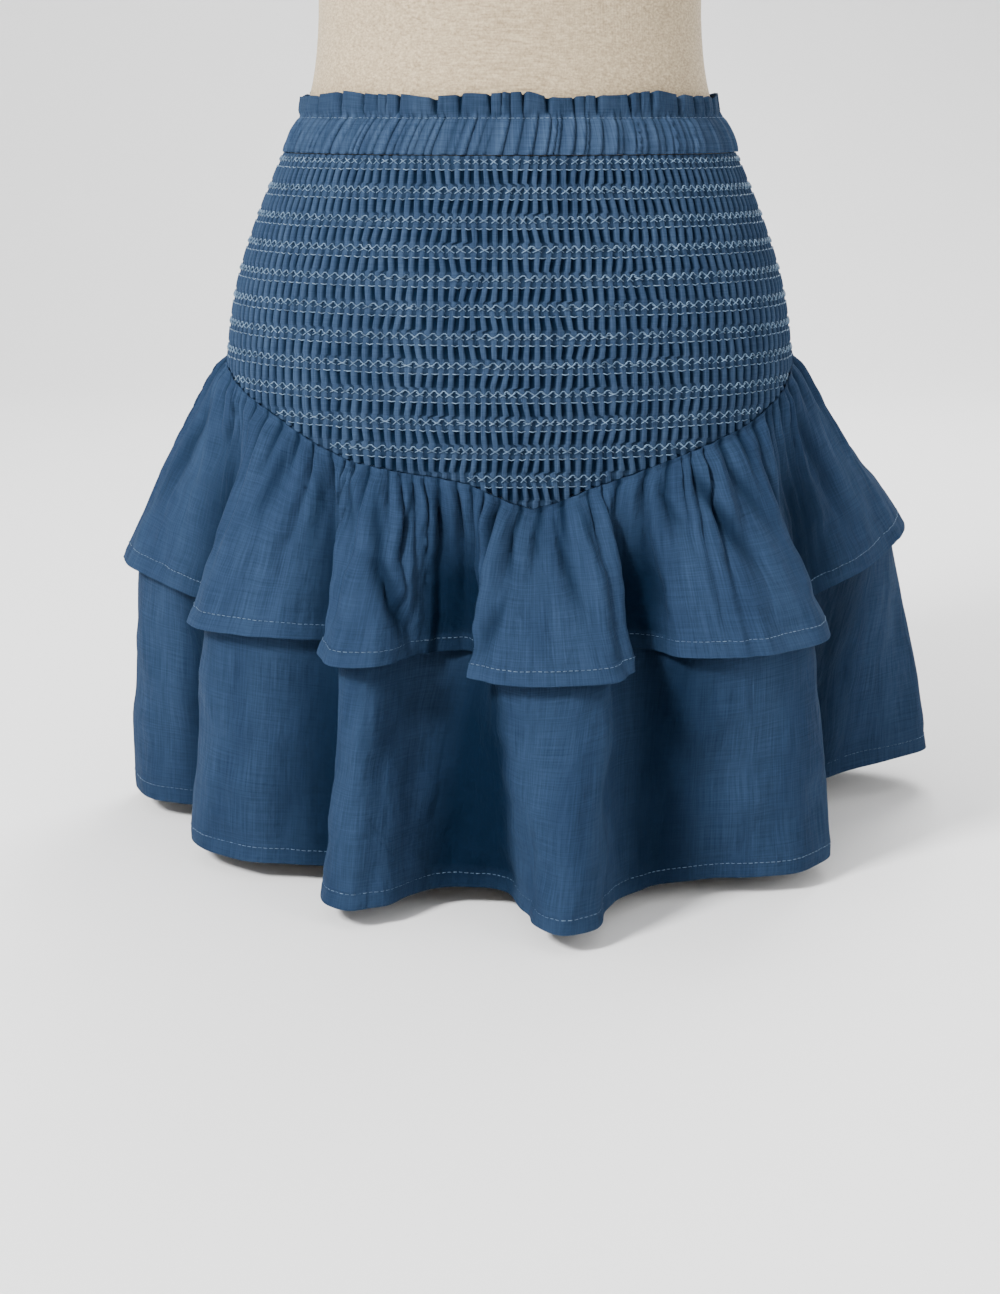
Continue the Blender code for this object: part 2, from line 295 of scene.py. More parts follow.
def shell_mesh(name, outer, inner, spread, material, depth, closed=False):
    """Wall between two grids of points, over its flat cloth as UV. A closed one is a ring."""
    rows, columns = outer.shape[:2]
    count = rows * columns
    points = np.concatenate([outer.reshape(-1, 3), inner.reshape(-1, 3)])
    ids = np.arange(count).reshape(rows, columns)
    rim = np.concatenate([ids[0, :-1], ids[:-1, -1], ids[-1, :0:-1], ids[:0:-1, 0]])
    first, second = rim, np.roll(rim, -1)
    if closed:
        first = np.concatenate([ids[0, :-1], ids[-1, :0:-1]])
        second = np.concatenate([ids[0, 1:], ids[-1, -2::-1]])
    band = np.stack([first, second, second + count, first + count], axis=-1)
    faces = np.concatenate([
        grid_faces(rows, columns), grid_faces(rows, columns, count, True), band])
    mesh = bpy.data.meshes.new(name)
    mesh.from_pydata(points.tolist(), [], faces.tolist())
    corners = np.empty(len(mesh.loops), dtype=np.int32)
    mesh.loops.foreach_get("vertex_index", corners)
    layer = mesh.uv_layers.new(name="cloth")
    layer.data.foreach_set("uv", np.tile(spread.reshape(-1, 2), (2, 1))[corners].ravel())
    # The depth attribute carries the painted shade for the cloth's material, from 0 to 1
    folds = mesh.attributes.new("depth", "FLOAT", "POINT")
    folds.data.foreach_set("value", np.tile(depth.ravel(), 2).astype(np.float32))
    piece = bpy.data.objects.new(name, mesh)
    bpy.context.collection.objects.link(piece)
    mesh.materials.append(material)
    return piece


def clean_shell(piece, merge=0.0, edge_angle=None):
    """Merge the closing seam and thin rims, turn the faces outwards, keep cut edges crisp."""
    bm = bmesh.new()
    bm.from_mesh(piece.data)
    if merge:
        bmesh.ops.remove_doubles(bm, verts=bm.verts, dist=merge)
        bmesh.ops.dissolve_degenerate(bm, edges=bm.edges, dist=merge)
    bmesh.ops.recalc_face_normals(bm, faces=bm.faces)
    bm.to_mesh(piece.data)
    bm.free()
    piece.data.shade_smooth()
    if edge_angle:
        piece.data.set_sharp_from_angle(angle=math.radians(edge_angle))


def unit(vectors):
    """Vectors of length 1 along the given ones."""
    return vectors / np.linalg.norm(vectors, axis=-1, keepdims=True)


def flat_grid(fraction, share, width, depth):
    """Where each point of a sheet lies on its flat strip of cloth."""
    return np.stack([fraction * width + 0 * share, share * depth + 0 * fraction], axis=-1)


def thicken(points, thickness):
    """Points moved out along the sheet's normal."""
    across = np.gradient(points, axis=1)
    down = np.gradient(points, axis=0)
    normal = np.cross(down, across)
    normal /= np.maximum(np.linalg.norm(normal, axis=-1, keepdims=True), 1e-12)
    return points + normal * thickness


def cloth_material(name, light, dark):
    """Blue cotton: two tones of yarn, softly faded and wrinkled, with painted shade in deep folds."""
    material, tree, shader = new_material(
        name, Roughness=0.72, Specular_IOR_Level=0.02, Sheen_Weight=0.02, Sheen_Roughness=0.45,
        Sheen_Tint=SHEEN_TINT)
    coordinates = tree.nodes.new("ShaderNodeTexCoord")
    weave = tree.nodes.new("ShaderNodeGroup")
    weave.node_tree = bpy.data.node_groups.get("cotton_weave") or weave_group(
        "cotton_weave", CLOTH_THREAD, *CLOTH_SLUB, WARP_SHARE)
    cloth = coordinates.outputs["UV"]
    tree.links.new(cloth, weave.inputs["Vector"])
    tint = mix_colors(tree, weave.outputs["Yarns"], dark, light)
    fading = spread_out(tree, noise_field(tree, cloth, 2.0, stretch=FADING_STRETCH), 0.35, 0.65)
    faded = mix_colors(tree, fading, tint, FADED, "MULTIPLY")
    # Painted shade: the depth attribute darkens the colour towards near black in folds, creases and
    # slits
    depth = tree.nodes.new("ShaderNodeAttribute")
    depth.attribute_name = "depth"
    deep = mix_colors(tree, depth.outputs["Fac"], faded, PAINTED_FOLD_SHADE)
    tree.links.new(deep, shader.inputs["Base Color"])
    crumples = noise_field(tree, cloth, 3.0, scale=CRUMPLE_SCALE)
    wrinkles = noise_field(tree, cloth, 2.0, stretch=WRINKLE_STRETCH, distortion=0.6)
    soft = raise_bump(tree, combine(tree, "ADD", crumples, wrinkles), 0.45, 0.004)
    bump = raise_bump(tree, weave.outputs["Height"], 0.30, 0.0003, soft)
    tree.links.new(bump, shader.inputs["Normal"])
    return material


def uneven_phase(fraction, count, seed, wander):
    """Runs up by one for each wave, with waves of uneven width, and closes round the girth."""
    chance = np.random.default_rng(seed)
    widths = 1.0 + wander * chance.uniform(-1.0, 1.0, count)
    edges = np.concatenate([[0.0], np.cumsum(widths)]) / widths.sum()
    return np.interp(fraction % 1.0, edges, np.arange(count + 1))


def wave_strength(phase, count, seed, low):
    """One value between low and 1 for each wave, blended from wave to wave."""
    chance = np.random.default_rng(seed)
    values = chance.uniform(low, 1.0, count)
    values = np.append(values, values[0])
    return np.interp(phase % count, np.arange(count + 1), values)


# The waistband's material is a lighter copy of the blue cotton, as painted light on its upright
# casing
painted_light_waist_cotton = cloth_material("painted_light_waist_cotton", PAINTED_LIT_WAIST_LIGHT, PAINTED_LIT_WAIST_DARK)
blue_cotton = cloth_material("blue_cotton", CLOTH_LIGHT, CLOTH_DARK)


def ease(value):
    """Soft step from 0 to 1."""
    value = np.clip(value, 0.0, 1.0)
    return value * value * (3 - 2 * value)


fraction = np.linspace(0.5, 1.5, WAIST_COLUMNS + 1)[None, :]
share = np.linspace(0.0, 1.0, WAIST_ROWS + 1)[:, None]
height = TOP_HEIGHT + (YOKE_TOP + CASING_CLEAR - TOP_HEIGHT) * share + 0 * fraction
in_frill = np.clip((height - STITCH_HEIGHT) / (TOP_HEIGHT - STITCH_HEIGHT), 0.0, 1.0)
in_casing = np.clip((STITCH_HEIGHT - height) / (STITCH_HEIGHT - YOKE_TOP), 0.0, 1.0)
azimuth = girth_azimuth(fraction)
bend = 0.0022 * np.sin(37 * azimuth) * in_frill
tube_phase = uneven_phase(fraction + bend / 3, FRILL_TUBES, FRILL_SEED, UNEVEN_WIDTHS)
within = tube_phase % 1.0
tube = ease((np.minimum(within, 1.0 - within) - TUBE_SLIT * in_frill) / TUBE_FLANK)
tube = tube * (1.0 - 0.35 * within)
tube = tube * wave_strength(tube_phase, FRILL_TUBES, FRILL_SEED + 1, 0.45)
lean = CASING_LEAN * (0.4 + 0.6 * np.cos(azimuth + 0.9)) * in_casing
crease_phase = uneven_phase(fraction + lean, CASING_CREASES, CASING_SEED, UNEVEN_WIDTHS)
within = crease_phase % 1.0
rise, fall = (within / CREASE_PEAK) ** 1.2, (1.0 - within) / (1.0 - CREASE_PEAK)
strength = wave_strength(crease_phase, CASING_CREASES, CASING_SEED + 1, 0.15)
crease = np.where(within < CREASE_PEAK, rise, fall) * strength
# Painted shade: a dark line along each crease's steep side
line = ease(1.0 - np.minimum(within, 1.0 - within) / CREASE_LINE) * strength
opened = ease(in_frill / 0.35)
stand = CREASE_STAND * crease * (1 - opened) + FRILL_STAND * tube * opened * in_frill ** 0.35
stand = stand + CASING_BULGE * np.sin(np.pi * in_casing) ** 0.5 + FRILL_LIFT * in_frill
wave = 0.0026 * (tube - 0.5) + 0.0012 * np.sin(7 * azimuth + 2.0)
wave = wave + 0.0006 * np.sin(17 * azimuth)
height = height + in_frill * wave
waist_inner = place(azimuth, form_radius(azimuth, height) + FORM_GAP + stand, height)
waist_outer = thicken(waist_inner, WAIST_CLOTH)
waist_outer[..., 2] = np.maximum(waist_outer[..., 2], YOKE_TOP + CASING_CLEAR)
waist_outer[:, -1] = waist_outer[:, 0]
# Painted shade: the casing darker along crease lines and low between creases, the frill about half
# all over
shade = np.maximum(0.90 * line, 0.50 * (1.0 - crease) ** 1.5)
# and almost fully in the gaps between the frill's tubes
depth = (0.48 + 0.50 * ease(1.0 - 2.0 * tube)) * opened + shade * (1 - opened)
waistband = shell_mesh("frilled_waistband", waist_outer, waist_inner,
                       flat_grid(fraction, share, *WAIST_FLAT), painted_light_waist_cotton, depth, closed=True)
clean_shell(waistband, merge=SHELL_MERGE, edge_angle=CUT_ANGLE)
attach(waistband, "root")
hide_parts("waistband")

# Yoke
# Two panels of the same cotton, front and back, drawn up in rows of smocking into narrow standing
# pleats. They are cut to a point at the centre of the lower edge and sewn at the sides.
YOKE_POINT_DEPTH = 0.2025
YOKE_SIDE_DEPTH = 0.122
# The pointed edge: share of the girth from the centre front, and depth under the yoke's top
YOKE_EDGE = (
    (-0.500, YOKE_POINT_DEPTH),
    (-0.250, YOKE_SIDE_DEPTH),
    (-0.160, 0.1530),
    (-0.125, 0.1685),
    (-0.100, 0.1770),
    (-0.070, 0.1815),
    (-0.045, 0.1840),
    (-0.026, 0.1875),
    (0.000, 0.1985),
    (0.014, YOKE_POINT_DEPTH),
    (0.030, 0.1985),
    (0.048, 0.1915),
    (0.100, 0.1765),
    (0.160, 0.1600),
    (0.195, 0.1465),
    (0.250, YOKE_SIDE_DEPTH),
    (0.500, YOKE_POINT_DEPTH),
)
SEAM_GAP = 0.0003
HIP_GIRTH = 0.94
SMOCK_ROWS = 13
SMOCK_PITCH = 0.0165
STITCHED_SHARE = 0.47
FREE_MIDDLE = 0.73
PLEATS = 144
PLEAT_STAND = 0.0020
STITCHED_STAND = 0.0007
SLIT_STAND = 0.0001
SLIT_SHARE = 0.21
FLANK_SHARE = 0.07
SIDE_GAP = 0.00003
# Grid lines over one pleat, from slit to slit, and over one row of smocking, from band to band
PLEAT_LINES = (0.0, 0.21, 0.28, 0.42, 0.58, 0.72, 0.79)
ROW_LINES = (0.0, 0.10, 0.22, 0.34, 0.45, 0.50, 0.55, 0.75, 0.93)
YOKE_CLOTH = 0.0010
YOKE_FLAT = (0.66, 0.205)
YOKE_LIGHT = (0.0395, 0.0670, 0.1180, 1.0)
YOKE_DARK = (0.0190, 0.0375, 0.0740, 1.0)


def yoke_edge(fraction):
    """Height of the pointed edge. The front's hangs askew, its point to the wearer's left."""
    around = (fraction + 0.5) % 1.0 - 0.5
    return YOKE_TOP - np.interp(around, *zip(*YOKE_EDGE))


def pleat_sway(fraction, height):
    """How far the pleats wander from an even pitch, in pleats; they run straight at the sides."""
    rows_down = (YOKE_TOP - height) / SMOCK_PITCH
    turn = 2 * np.pi * fraction
    row = np.floor(rows_down)
    lean = 0.42 * np.sin(2.1 * row + 5 * turn) + 0.30 * np.sin(1.3 * row + 23 * turn)
    sway = 0.7 * np.sin(3 * turn) * rows_down / 12 + lean * (rows_down % 1.0 - FREE_MIDDLE)
    return sway * np.cos(turn) ** 2


def pleat_fraction(phase, height):
    """Share of the girth at a count of pleats from the centre front; slits are at whole numbers."""
    fraction = phase / PLEATS
    for _ in range(8):
        fraction = (phase - pleat_sway(fraction, height)) / PLEATS
    return fraction


def smocking(phase, height):
    """Outer lift of the smocked cloth, and the painted shade in the slits between the pleats."""
    within = (YOKE_TOP - height) / SMOCK_PITCH % 1.0
    free = ease((within - STITCHED_SHARE) / 0.05) * ease((0.99 - within) / 0.07)
    off_crest = np.abs(phase % 1.0 - 0.5)
    pleat = ease((0.5 - off_crest - SLIT_SHARE) / FLANK_SHARE) * (1.0 - 2.5 * off_crest ** 2)
    gathered = STITCHED_STAND * (1 + pleat)
    lift = gathered * (1 - free) + (SLIT_STAND + PLEAT_STAND * pleat) * free
    # Painted shade in the slits between the pleats, stronger where the pleats stand free
    between = 1.0 - ease((0.5 - off_crest - SLIT_SHARE + 0.01) / FLANK_SHARE)
    return YOKE_CLOTH + lift, between * (0.60 + 0.40 * free)


smocked_cotton = cloth_material("smocked_cotton", YOKE_LIGHT, YOKE_DARK)
HALVES = (("front", -0.25), ("back", 0.25))
half_gap = SIDE_GAP / HIP_GIRTH
for side, start in HALVES:
    phase = np.arange(PLEATS // 2)[:, None] + np.array(PLEAT_LINES)[None, :]
    phase = np.append(phase.ravel(), PLEATS // 2)[None, :] + start * PLEATS
    drop = np.arange(SMOCK_ROWS)[:, None] + np.array(ROW_LINES)[None, :]
    drop = drop.ravel() * SMOCK_PITCH
    drop = np.append(drop[drop < YOKE_POINT_DEPTH], YOKE_POINT_DEPTH)[:, None]
    height = YOKE_TOP - SEAM_GAP / 2 - drop
    for _ in range(6):
        fraction = pleat_fraction(phase + 0 * height, height)
        fraction = np.clip(fraction, start + half_gap, start + 0.5 - half_gap)
        height = np.maximum(YOKE_TOP - SEAM_GAP / 2 - drop, yoke_edge(fraction))
    reached = height > YOKE_TOP - SEAM_GAP / 2 - drop + 1e-9
    reached[-1] = True
    last = np.minimum(np.arange(len(drop))[:, None], reached.argmax(axis=0)[None, :])
    height = np.take_along_axis(height, last, 0)
    fraction = np.take_along_axis(fraction, last, 0)
    azimuth = girth_azimuth(fraction)
    lift, between = smocking(phase + 0 * height, height)
    base = form_radius(azimuth, height) + FORM_GAP
    outer = place(azimuth, base + lift, height)
    inner = place(azimuth, base, height)
    flat = np.stack([fraction * YOKE_FLAT[0] * 2, YOKE_TOP - height], axis=-1)
    yoke = shell_mesh(f"smocked_yoke_{side}", outer, inner, flat, smocked_cotton, between)
    clean_shell(yoke, merge=SHELL_MERGE, edge_angle=CUT_ANGLE)
    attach(yoke, "root")
    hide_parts(f"yoke_{side}")

# Smocking threads
# Pale blue sewing thread over each row of smocking: a cross on each pleat, an arc from pleat to
# pleat along the row's top, and a slack straight stitch across each slit along its foot.
THREAD_RADIUS = 0.00033
THREAD_LIGHT = (0.165, 0.270, 0.400, 1.0)
THREAD_DARK = (0.040, 0.080, 0.135, 1.0)
# Each stitch's place in its row, from band to band, and its reach to each side in pleats
CROSS_AT, CROSS_REACH = 0.21, 0.36
ARC_AT, ARC_REACH = 0.07, 0.30
FOOT_AT, FOOT_REACH = 0.475, 0.34
CROSS_RISE = 0.0013
ARC_RISE = 0.0013
FOOT_SAG = 0.0005
# Height of each thread's middle over the yoke's cloth
CROSS_LIFT = 0.0017
ARC_LIFT = 0.0018
FOOT_LIFT = 0.0019
THREAD_SEEDS = {"front": 31, "back": 32}


def thread_mesh(paths, radius, name, material):
    """Three-sided tubes along many short paths of 3 or 4 points each."""
    points, faces, first = [], [], 0
    turns = np.array([0.25, 0.25 + 1 / 3, 0.25 + 2 / 3]) * 2 * np.pi
    for group in paths:
        count, length = group.shape[:2]
        along = unit(np.gradient(group, axis=1))
        out = unit(group * (1.0, 1.0, 0.0))
        aside = np.cross(along, out)
        ring = out[:, :, None] * np.sin(turns)[:, None] + aside[:, :, None] * np.cos(turns)[:, None]
        tube = group[:, :, None] + ring * radius
        ids = first + np.arange(count * length * 3).reshape(count, length, 3)
        for step in range(3):
            turn = (step + 1) % 3
            quads = np.stack([ids[:, :-1, step], ids[:, :-1, turn],
                              ids[:, 1:, turn], ids[:, 1:, step]], axis=-1)
            faces.extend(quads.reshape(-1, 4).tolist())
        faces.extend(ids[:, 0, ::-1].tolist() + ids[:, -1].tolist())
        points.extend(tube.reshape(-1, 3).tolist())
        first += count * length * 3
    mesh = bpy.data.meshes.new(name)
    mesh.from_pydata(points, [], faces)
    mesh.materials.append(material)
    piece = bpy.data.objects.new(name, mesh)
    bpy.context.collection.objects.link(piece)
    clean_shell(piece)
    return piece


def thread_material(name, light, dark):
    """Sewing thread in two tones that change along its way."""
    material, tree, shader = new_material(
        name, Roughness=0.60, Specular_IOR_Level=0.2, Sheen_Weight=0.1)
    coordinates = tree.nodes.new("ShaderNodeTexCoord")
    noise = noise_field(tree, coordinates.outputs["Object"], 2.0, scale=260.0)
    tint = mix_colors(tree, spread_out(tree, noise, 0.36, 0.66), dark, light)
    tree.links.new(tint, shader.inputs["Base Color"])
    return material


smocking_thread = thread_material("smocking_thread", THREAD_LIGHT, THREAD_DARK)


def on_yoke(phase, height, lift):
    """Points over the yoke's cloth, at a count of pleats from the centre front."""
    fraction = pleat_fraction(phase, height)
    azimuth = girth_azimuth(fraction)
    return place(azimuth, form_radius(azimuth, height) + FORM_GAP + YOKE_CLOTH + lift, height)


for side, start in HALVES:
    chance = np.random.default_rng(THREAD_SEEDS[side])
    crosses, arcs, feet = [], [], []
    even = np.linspace(-1.0, 1.0, 3)
    curve = np.linspace(-1.0, 1.0, 4)
    for row in range(SMOCK_ROWS):
        band = YOKE_TOP - row * SMOCK_PITCH
        pleat = start * PLEATS + 0.5 + np.arange(PLEATS // 2)
        room = yoke_edge(pleat / PLEATS) < band - (CROSS_AT + 0.12) * SMOCK_PITCH
        pleat = pleat[room][:, None]
        if not len(pleat):
            continue
        loose = chance.uniform(-1.0, 1.0, (5, len(pleat)))[..., None]
        for turn in (-1.0, 1.0):
            phase = pleat + 0.05 * loose[0] + (CROSS_REACH + 0.05 * loose[1]) * even
            slope = turn * even * (CROSS_RISE + 0.0004 * loose[2])
            rise = band - CROSS_AT * SMOCK_PITCH + slope
            crown = CROSS_LIFT + 0.0002 * turn + 0.0004 * (1 - even ** 2)
            crosses.append(on_yoke(phase, rise, crown))
        phase = pleat + 0.5 + ARC_REACH * curve
        inside = (phase < start * PLEATS + PLEATS // 2 - 0.1).all(axis=1)
        rise = band - ARC_AT * SMOCK_PITCH - (ARC_RISE + 0.0003 * loose[3]) * curve ** 2
        if row:
            arcs.append(on_yoke(phase, rise, ARC_LIFT)[inside])
        phase = pleat + 0.5 + FOOT_REACH * even
        rise = band - FOOT_AT * SMOCK_PITCH - (FOOT_SAG + 0.0003 * loose[4]) * (1 - even ** 2)
        low = yoke_edge(phase / PLEATS).max(axis=1) < rise.min(axis=1) - 0.0005
        feet.append(on_yoke(phase, rise, FOOT_LIFT)[inside & low])
    paths = [np.concatenate(crosses), np.concatenate(arcs), np.concatenate(feet)]
    threads = thread_mesh(paths, THREAD_RADIUS, f"smocking_threads_{side}", smocking_thread)
    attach(threads, "root")

# Upper ruffle
# A straight strip of cotton for each side, gathered into the yoke's pointed edge with its raw edge
# turned in. It flares over the lower ruffle in deep folds and ends in a narrow stitched hem.
# The hem's line, from the centre back round by the front
# Columns: azimuth in degrees, radius, height
UPPER_HEM = np.array((
    (-180, 0.222, 0.148),
    (-173, 0.219, 0.148),
    (-168, 0.198, 0.149),
    (-163, 0.176, 0.150),
    (-156, 0.172, 0.151),
    (-151, 0.186, 0.152),
    (-149, 0.211, 0.152),
    (-142, 0.226, 0.153),
    (-133, 0.223, 0.154),
    (-128, 0.204, 0.156),
    (-121, 0.194, 0.158),
    (-114, 0.202, 0.160),
    (-109, 0.228, 0.163),
    (-101, 0.251, 0.166),
    (-90, 0.247, 0.164),
    (-82, 0.226, 0.160),
    (-73, 0.207, 0.156),
    (-65, 0.195, 0.154),
    (-60.5, 0.221, 0.152),
    (-54, 0.227, 0.152),
    (-47, 0.214, 0.151),
    (-40, 0.197, 0.150),
    (-33.5, 0.184, 0.149),
    (-31, 0.208, 0.148),
    (-26, 0.226, 0.147),
    (-20.5, 0.219, 0.147),
    (-18, 0.192, 0.147),
    (-14, 0.168, 0.146),
    (-8, 0.164, 0.146),
    (-5.5, 0.188, 0.145),
    (-5, 0.216, 0.143),
    (0, 0.228, 0.142),
    (7, 0.231, 0.142),
    (14, 0.227, 0.142),
    (18, 0.214, 0.143),
    (18.5, 0.190, 0.145),
    (22, 0.174, 0.147),
    (26.5, 0.182, 0.147),
    (28, 0.207, 0.147),
    (35, 0.224, 0.147),
    (44, 0.233, 0.147),
    (52, 0.235, 0.148),
    (56.5, 0.225, 0.150),
    (60, 0.204, 0.152),
    (67, 0.195, 0.155),
    (74, 0.206, 0.160),
    (82, 0.226, 0.166),
    (90, 0.244, 0.173),
    (97, 0.262, 0.181),
    (103, 0.266, 0.184),
    (109, 0.250, 0.180),
    (114, 0.222, 0.172),
    (121, 0.200, 0.166),
    (129, 0.197, 0.161),
    (135, 0.212, 0.158),
    (141, 0.224, 0.155),
    (149, 0.221, 0.155),
    (155, 0.202, 0.154),
    (158, 0.180, 0.152),
    (164, 0.171, 0.150),
    (169, 0.181, 0.149),
    (171, 0.206, 0.148),
    (175, 0.219, 0.148),
    (180, 0.222, 0.148),
))
TIER_STEP = 0.0018
FLARE_POWER = 0.9
FOLD_POWER = 0.72
FOLD_SPREAD = 0.045
RING_STEPS = 720
COLLAR = 0.004
RUFFLE_CLOTH = 0.0008
GATHERS = 96
GATHER_SEED = 41
GATHER_STAND = 0.0122
UPPER_COLUMNS = 410
UPPER_ROWS = 50
UPPER_FLAT = (0.90, 0.135)
HEM_FOLD = 0.008
UPPER_PUCKERS = 150
# Layers of soft dents: depth, cells round, rows, seed, and slant in shares of the girth
UPPER_DENTS = (
    (0.0020, 62, 5, 51, 0.004),
    (0.0010, 150, 11, 52, -0.006),
)
# Pulled creases: azimuth, start and end as shares of the fall, width in degrees, depth, slant
CREASES = (
    (-100, 0.05, 0.80, 4.0, 0.0035, -4.0),
    (-84, 0.10, 0.80, 4.0, 0.0040, -6.0),
    (-74, 0.04, 0.45, 2.5, 0.0040, -5.0),
    (-66, 0.06, 0.90, 3.0, 0.0045, -3.0),
    (-57, 0.05, 0.55, 2.5, 0.0040, -3.0),
    (-49, 0.05, 0.85, 3.0, 0.0045, -3.0),
    (-41, 0.04, 0.40, 2.0, 0.0045, 2.0),
    (-35, 0.06, 0.70, 2.2, 0.0050, 4.0),
    (-33, 0.45, 0.98, 3.2, 0.0070, 10.0),
    (-27, 0.04, 0.65, 2.2, 0.0045, -2.0),
    (-21, 0.05, 0.50, 2.0, 0.0045, 4.0),
    (-3, 0.02, 0.42, 2.0, 0.0045, -2.0),
    (2, 0.05, 0.55, 2.0, 0.0050, 1.0),
    (3, 0.50, 0.98, 3.0, 0.0040, -5.0),
    (7, 0.04, 0.38, 1.8, 0.0050, 2.0),
    (12, 0.04, 0.80, 2.2, 0.0050, 5.0),
    (18, 0.02, 0.40, 2.0, 0.0040, 2.0),
    (27, 0.06, 0.40, 2.2, 0.0040, 2.0),
    (40, 0.05, 0.45, 2.2, 0.0050, 5.0),
    (47, 0.04, 0.70, 2.6, 0.0060, 8.0),
    (36, 0.45, 0.95, 3.5, 0.0045, 5.0),
    (55, 0.06, 0.50, 2.4, 0.0045, 4.0),
    (63, 0.06, 0.90, 3.0, 0.0045, 3.0),
    (80, 0.05, 0.90, 4.0, 0.0045, 5.0),
    (95, 0.10, 0.70, 4.0, 0.0045, 3.0),
    (112, 0.05, 0.60, 4.0, 0.0040, 2.0),
    (130, 0.08, 0.75, 3.5, 0.0050, 5.0),
    (141, 0.05, 0.40, 2.5, 0.0040, 2.0),
    (150, 0.05, 0.50, 2.5, 0.0040, -4.0),
    (171, 0.06, 0.80, 2.5, 0.0050, 4.0),
    (-177, 0.05, 0.50, 2.2, 0.0045, -2.0),
    (-165, 0.05, 0.45, 2.0, 0.0040, 2.0),
    (-150, 0.06, 0.70, 3.0, 0.0045, -5.0),
    (-140, 0.05, 0.40, 2.4, 0.0045, 2.0),
    (-131, 0.05, 0.55, 3.0, 0.0040, 4.0),
    (-115, 0.08, 0.80, 3.5, 0.0045, -4.0),
)


class HemLine:
    """Smooth closed line through a table's points, with its cloth spread evenly over the girth."""

    def __init__(self, table):
        points = place(np.radians(table[:, 0]), table[:, 1], table[:, 2])
        points = np.concatenate([points[-4:-1], points, points[1:4]])
        steps = np.linalg.norm(np.diff(points, axis=0), axis=1)
        self.points = points
        self.run = np.concatenate([[0.0], np.cumsum(steps)])
        self.slopes = np.gradient(points, self.run, axis=0)
        sides = [3 + int(np.flatnonzero(table[:, 0] == turn)[0]) for turn in (-180, -90, 90, 180)]
        self.sides = self.run[sides]
        even = np.linspace(-0.5, 0.5, RING_STEPS + 1)
        radii = np.linalg.norm(self.at(even)[:, :2], axis=1)[:-1]
        away = (np.arange(RING_STEPS) + RING_STEPS // 2) % RING_STEPS - RING_STEPS // 2
        weights = np.exp(-0.5 * (away / RING_STEPS / FOLD_SPREAD) ** 2)
        weights = np.fft.rfft(weights / weights.sum())
        smooth = np.fft.irfft(np.fft.rfft(radii) * weights, RING_STEPS)
        self.even, self.radii = even, np.append(smooth, smooth[0])

    def at(self, fraction):
        """Point of the hem at a share of the girth."""
        around = (fraction + 0.5) % 1.0 - 0.5
        run = np.interp(around, (-0.5, -0.25, 0.25, 0.5), self.sides)
        row = np.clip(np.searchsorted(self.run, run) - 1, 0, len(self.run) - 2)
        span = (self.run[row + 1] - self.run[row])[..., None]
        s = (run - self.run[row])[..., None] / span
        start = (1 + 2 * s) * (1 - s) ** 2 * self.points[row]
        start = start + s * (1 - s) ** 2 * span * self.slopes[row]
        end = s * s * (3 - 2 * s) * self.points[row + 1]
        return start + end - s * s * (1 - s) * span * self.slopes[row + 1]

    def ring(self, fraction):
        """The round line that the folds swing about."""
        around = (fraction + 0.5) % 1.0 - 0.5
        return place(girth_azimuth(fraction), np.interp(around, self.even, self.radii), 0 * around)


upper_hem = HemLine(UPPER_HEM)


def gathers(fraction, drop):
    """Standing ridges at the gathered edge, uneven in width, length and lean, from 0 to 1."""
    chance = np.random.default_rng(GATHER_SEED)
    lengths = chance.uniform(0.15, 1.0, GATHERS) ** 1.5 * 0.085 + 0.012
    lengths = np.append(lengths, lengths[0])
    turn = 2 * np.pi * fraction
    lean = 0.006 * np.sin(7 * turn + 1.0) + 0.003 * np.sin(19 * turn)
    lean = lean * np.clip(drop / 0.06, 0.0, 1.0)
    phase = uneven_phase(fraction + lean, GATHERS, GATHER_SEED + 1, 0.8)
    length = np.interp(phase, np.arange(GATHERS + 1), lengths)
    wave = (0.5 + 0.5 * np.cos(2 * np.pi * phase)) ** 0.65
    strength = wave_strength(phase, GATHERS, GATHER_SEED + 2, 0.25)
    held = (0.25 + 0.75 * ease(drop / 0.010)) * (1.0 - 0.5 * np.sin(turn) ** 4)
    return held * wave * strength * np.exp(-(drop / length) ** 1.4)


def crumple(fraction, fall, cells, rows, seed):
    """Soft irregular dents, from -1 to 1: random lattice values blended over cells and rows."""
    values = np.random.default_rng(seed).uniform(-1.0, 1.0, (rows + 2, cells))
    across = fraction % 1.0 * cells + 0 * fall
    down = np.clip(fall, 0.0, 1.0) * rows + 0 * fraction
    column, row = np.floor(across).astype(int), np.floor(down).astype(int)
    s, t = ease(across - column), ease(down - row)
    left, right = column % cells, (column + 1) % cells
    high = values[row, left] * (1 - s) + values[row, right] * s
    low = values[row + 1, left] * (1 - s) + values[row + 1, right] * s
    return high * (1 - t) + low * t


def dented(fraction, fall, layers):
    """Sum of layers of dents at a share of the cloth's fall."""
    return sum(deep * crumple(fraction + slant * fall, fall, cells, rows, seed)
               for deep, cells, rows, seed, slant in layers)


def creases(fraction, fall):
    """Troughs that start near the gathers and run down and aside."""
    azimuth = girth_azimuth(fraction)
    depth = np.zeros(np.broadcast(azimuth, fall).shape)
    for centre, start, end, width, deep, slant in CREASES:
        along = np.clip((fall - start) / (end - start), 0.0, 1.0)
        line = np.radians(centre + slant * along)
        away = (azimuth - line + np.pi) % (2 * np.pi) - np.pi
        trough = np.exp(-(away / np.radians(width * (0.35 + 0.5 * along))) ** 2)
        depth = depth + deep * np.sin(np.pi * along ** 0.7) * trough
    return depth


